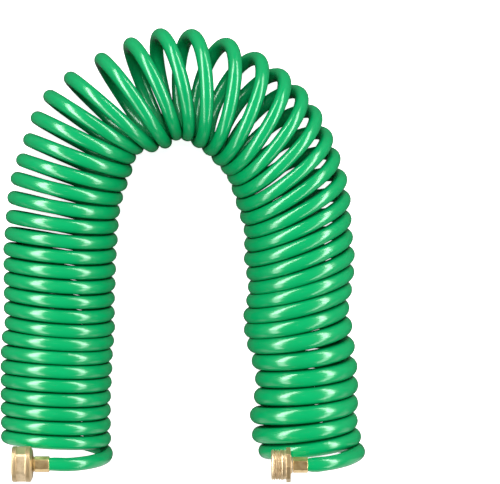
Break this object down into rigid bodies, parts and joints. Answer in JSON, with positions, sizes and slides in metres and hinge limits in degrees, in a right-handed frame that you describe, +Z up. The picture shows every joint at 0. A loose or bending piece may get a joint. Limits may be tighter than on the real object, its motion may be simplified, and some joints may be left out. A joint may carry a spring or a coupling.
{
  "type": "recoil garden hose",
  "caption": "Coiled green garden hose bent into an arch, lying on the floor, with a brass swivel inlet and a brass threaded outlet.",
  "frame": {"origin": "on the floor, under the middle of the whole hose's box", "axes": "+Z up from the floor the hose lies on, +Y from the two fittings towards the top of the arch, +X from the inlet leg to the outlet leg"},
  "size_m": [0.3279, 0.403, 0.1246],
  "materials": {
    "hose": "glossy green plastic tube",
    "cast_brass": "machined brass, lightly brushed",
    "bright_brass": "bright brass",
    "washer": "matte black rubber"
  },
  "bodies": {
    "hose": {"coil": "hose", "inlet_hose_end": "hose", "outlet_hose_end": "hose", "inlet_stem": "bright_brass", "inlet_ferrule": "bright_brass", "outlet_fitting": "cast_brass", "outlet_ferrule": "bright_brass"},
    "nut": {"swivel_nut": "cast_brass", "inlet_washer": "washer"}
  },
  "joints": [
    {"name": "nut_swivel", "type": "hinge", "parent": "hose", "child": "nut", "pos_m": [-0.1497, -0.1858, 0.1045], "axis": [1, 0, 0], "continuous": true}
  ]
}
